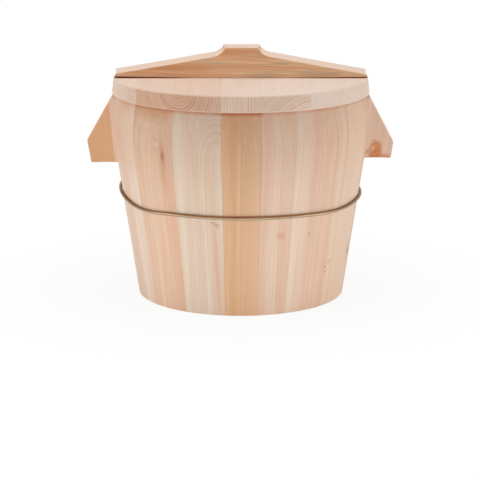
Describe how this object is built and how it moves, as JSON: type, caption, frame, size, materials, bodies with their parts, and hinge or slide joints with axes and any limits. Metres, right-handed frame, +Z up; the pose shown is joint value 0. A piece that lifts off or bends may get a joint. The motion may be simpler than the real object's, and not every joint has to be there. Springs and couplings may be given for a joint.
{
  "type": "wooden rice steamer",
  "caption": "Coopered wooden rice steamer: tapered stave barrel with carved ears and a wire hoop, a boarded lid with a batten handle, and a lift-out slotted grate.",
  "frame": {"origin": "centre of the base ring, on the surface that the steamer stands on", "axes": "+Z up along the barrel's axis, X through the two ears, -Y towards the front as the picture shows it"},
  "size_m": [0.313, 0.26, 0.2527],
  "materials": {
    "stave_wood": "planed bare fir, each stave in its own tone",
    "lid_wood": "planed bare fir",
    "handle_wood": "sawn and sanded fir heartwood",
    "grate_wood": "planed fir heartwood with knots",
    "pin_wood": "split bamboo",
    "hoop_wire": "drawn wire",
    "screw_steel": "stainless"
  },
  "bodies": {
    "barrel": {"ear_stave_left": "stave_wood", "ear_stave_right": "stave_wood", "stave_01": "stave_wood", "stave_02": "stave_wood", "stave_03": "stave_wood", "stave_04": "stave_wood", "stave_05": "stave_wood", "stave_06": "stave_wood", "stave_07": "stave_wood", "stave_08": "stave_wood", "stave_09": "stave_wood", "stave_10": "stave_wood", "stave_11": "stave_wood", "stave_12": "stave_wood", "stave_13": "stave_wood", "stave_14": "stave_wood", "stave_15": "stave_wood", "stave_pin_01": "pin_wood", "stave_pin_02": "pin_wood", "stave_pin_03": "pin_wood", "stave_pin_04": "pin_wood", "stave_pin_05": "pin_wood", "stave_pin_06": "pin_wood", "stave_pin_07": "pin_wood", "stave_pin_08": "pin_wood", "stave_pin_09": "pin_wood", "stave_pin_10": "pin_wood", "stave_pin_11": "pin_wood", "stave_pin_12": "pin_wood", "stave_pin_13": "pin_wood", "stave_pin_14": "pin_wood", "stave_pin_15": "pin_wood", "stave_pin_16": "pin_wood", "stave_pin_17": "pin_wood", "hoop": "hoop_wire"},
    "lid": {"lid_board_1": "lid_wood", "lid_board_2": "lid_wood", "lid_board_3": "lid_wood", "lid_board_4": "lid_wood", "lid_board_5": "lid_wood", "lid_pin_1": "pin_wood", "lid_pin_2": "pin_wood", "lid_pin_3": "pin_wood", "lid_pin_4": "pin_wood", "lid_pin_5": "pin_wood", "lid_pin_6": "pin_wood", "lid_pin_7": "pin_wood", "lid_pin_8": "pin_wood", "lid_handle": "handle_wood", "handle_screw_1": "screw_steel", "handle_screw_2": "screw_steel", "handle_screw_3": "screw_steel", "handle_screw_4": "screw_steel"},
    "grate": {"grate_board_1": "grate_wood", "grate_board_2": "grate_wood", "grate_board_3": "grate_wood", "grate_batten": "grate_wood"}
  },
  "joints": [
    {"name": "lid_lift", "type": "slide", "parent": "barrel", "child": "lid", "axis": [0, 0, 1], "range_m": [0, 0.2]},
    {"name": "grate_lift", "type": "slide", "parent": "barrel", "child": "grate", "axis": [0, 0, 1], "range_m": [0, 0.17]}
  ]
}
